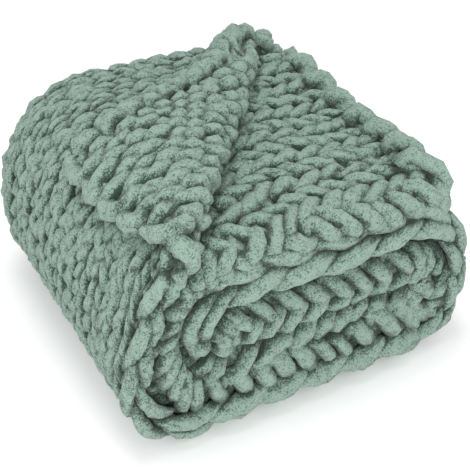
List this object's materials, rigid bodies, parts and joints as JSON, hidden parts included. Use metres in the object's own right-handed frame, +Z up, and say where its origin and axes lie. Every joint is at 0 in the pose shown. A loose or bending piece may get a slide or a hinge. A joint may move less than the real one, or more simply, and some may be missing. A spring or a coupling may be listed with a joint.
{
  "type": "folded chunky knit blanket",
  "caption": "Throw knitted in thick chenille yarn, folded in thirds both ways into a soft bundle, with one corner of the top layer turned back.",
  "frame": {"origin": "middle of the folded bundle's outline, on the surface that it lies on", "axes": "+Z up, -Y towards the front, where the folded layers show as a spiral; +X towards the right end, where the top layers' knitted edge lies open"},
  "size_m": [0.4746, 0.451, 0.3202],
  "materials": {
    "yarn": "soft, deep, matt chenille pile"
  },
  "bodies": {
    "root": {"blanket": "yarn"}
  },
  "joints": []
}
